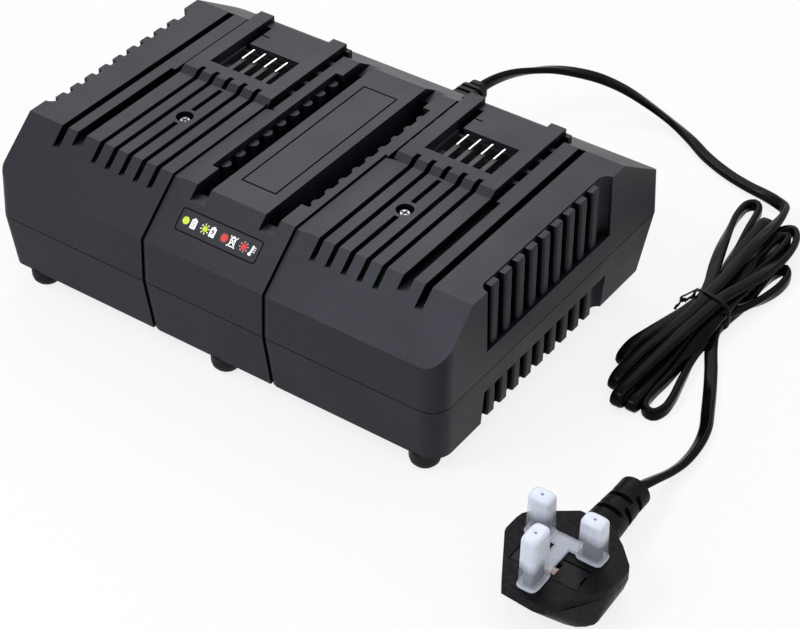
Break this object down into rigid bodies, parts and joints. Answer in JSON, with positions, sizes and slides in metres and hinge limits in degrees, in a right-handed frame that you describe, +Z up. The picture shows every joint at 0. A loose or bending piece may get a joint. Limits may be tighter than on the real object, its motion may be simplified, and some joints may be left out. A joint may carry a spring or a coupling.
{
  "type": "dual-bay power tool battery charger",
  "caption": "Black twin-bay slide-on battery charger for power tools with ribbed vents, status lamps, rubber feet, a tied flat mains lead and a three-pin plug under a clear pin cover",
  "frame": {"origin": "Centre of the case in plan, on the surface that the rubber feet stand on.", "axes": "+X to the right along the twin bays and the longest side, +Y to the back where the cord leaves, +Z up."},
  "size_m": [0.3182, 0.3181, 0.0782],
  "materials": {
    "case_plastic": "fine textured",
    "base_plastic": "fine textured",
    "label_plastic": "satin printed film",
    "lamp_clear": "translucent",
    "terminal_plastic": "moulded",
    "contact_metal": "plated",
    "screw_steel": "zinc plated",
    "foot_rubber": "matt",
    "board_laminate": "solder masked",
    "ferrite": "sintered",
    "winding_tape": "taped",
    "copper_wire": "enamelled copper",
    "component_dark": "moulded",
    "component_yellow": "moulded",
    "ceramic": "glazed",
    "sink_aluminium": "extruded",
    "wire_red": "insulated",
    "wire_blue": "insulated",
    "cord_black": "smooth satin",
    "tie_black": "smooth",
    "plug_black": "fine textured",
    "pin_brass": "nickel plated",
    "fuse_body": "glazed",
    "cover_clear": "milky translucent"
  },
  "bodies": {
    "charger": {"top_cover": "case_plastic", "bottom_cover": "base_plastic", "indicator_window": "label_plastic", "indicator_lamps": "lamp_clear", "indicator_board": "board_laminate", "left_terminal_block": "terminal_plastic", "right_terminal_block": "terminal_plastic", "left_terminal_blades": "contact_metal", "right_terminal_blades": "contact_metal", "left_terminal_wires": "wire_red", "right_terminal_wires": "wire_red", "bay_screws": "screw_steel", "case_screws": "screw_steel", "front_feet": "foot_rubber", "rear_feet": "foot_rubber", "circuit_board": "board_laminate", "board_screws": "screw_steel", "transformer_core": "ferrite", "transformer_winding": "winding_tape", "main_capacitors": "component_dark", "filter_choke": "copper_wire", "filter_capacitor": "component_yellow", "board_fuse": "ceramic", "bridge_rectifier": "component_dark", "left_heat_sink": "sink_aluminium", "right_heat_sink": "sink_aluminium", "power_transistors": "component_dark", "mains_wires": "wire_blue", "cord_clamp": "base_plastic", "clamp_screws": "screw_steel", "cord_grommet": "cord_black", "cord_lead": "cord_black", "cord_hank": "cord_black", "cord_tie": "tie_black", "cord_tail": "cord_black", "plug_body": "plug_black", "power_pins": "pin_brass", "earth_pin": "pin_brass", "plug_fuse": "fuse_body", "fuse_carrier": "plug_black"},
    "pin_cover": {"pin_cover": "cover_clear"}
  },
  "joints": [
    {"name": "pin_cover_pull", "type": "slide", "parent": "charger", "child": "pin_cover", "axis": [0, 0, 1], "range_m": [0, 0.03]}
  ]
}
